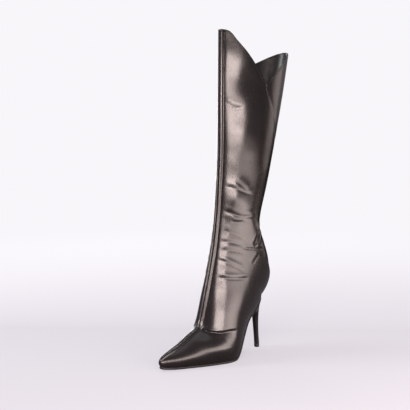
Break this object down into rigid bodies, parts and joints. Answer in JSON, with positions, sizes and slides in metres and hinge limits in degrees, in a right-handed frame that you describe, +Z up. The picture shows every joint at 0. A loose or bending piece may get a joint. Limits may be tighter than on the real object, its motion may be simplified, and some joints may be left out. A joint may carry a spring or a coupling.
{
  "type": "knee-high boot",
  "caption": "Left-foot knee-high boot with a pointed toe, slim high heel, raised front seam, notched topline and an inner zip.",
  "frame": {"origin": "on the floor, under the middle of the heel tip", "axes": "+Z up the shaft; -Y towards the toe; +X towards the outer (lateral) side of the left foot"},
  "size_m": [0.0935, 0.2773, 0.523],
  "materials": {
    "upper_leather": "smooth black leather, softly glossy",
    "sole": "satin black",
    "insole_lining": "dark lining leather, matt",
    "heel_cover": "heel block covered in black leather, satin",
    "tip": "matt black",
    "zip_tape": "black woven tape",
    "zip_metal": "black enamel"
  },
  "bodies": {
    "boot": {"upper": "upper_leather", "outsole": "sole", "insole": "insole_lining", "heel": "heel_cover", "heel_tip": "tip", "zip_tape": "zip_tape", "zip_teeth": "zip_metal", "zip_slider": "zip_metal"},
    "pull": {"zip_pull": "zip_metal"}
  },
  "joints": [
    {"name": "zip_pull_hinge", "type": "hinge", "parent": "boot", "child": "pull", "pos_m": [-0.04634, -0.00931, 0.44409], "axis": [0.0345, 0.9913, -0.1273], "range_deg": [0, 165]}
  ]
}
